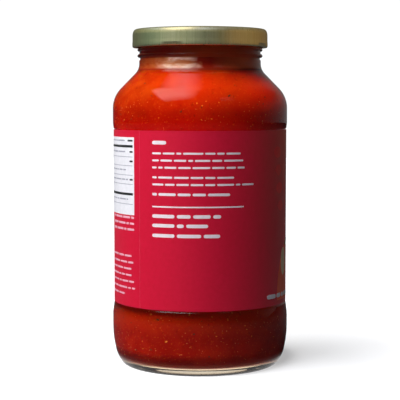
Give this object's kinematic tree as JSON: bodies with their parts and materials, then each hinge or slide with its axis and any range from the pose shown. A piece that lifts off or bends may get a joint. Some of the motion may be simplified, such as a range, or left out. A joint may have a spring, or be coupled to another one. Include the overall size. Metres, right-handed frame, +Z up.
{
  "type": "tomato sauce jar",
  "caption": "Shut clear glass jar of tomato sauce with a gold metal twist-off lid and a wrap-around paper label in crimson.",
  "frame": {"origin": "centre of the ring that the jar stands on, at the surface below it", "axes": "+Z up along the axis of the jar; -Y towards the viewer of the picture, the printed back of the label; +X to the viewer's right"},
  "size_m": [0.0864, 0.0864, 0.1648],
  "materials": {
    "glass": "clear and glossy, with a stippled base",
    "sauce": "thick wet tomato sauce with herbs",
    "lid": "gold lacquer on tinplate, satin",
    "label": "printed satin paper"
  },
  "bodies": {
    "root": {"glass_jar": "glass", "tomato_sauce": "sauce", "screw_lid": "lid", "paper_label": "label"}
  },
  "joints": []
}
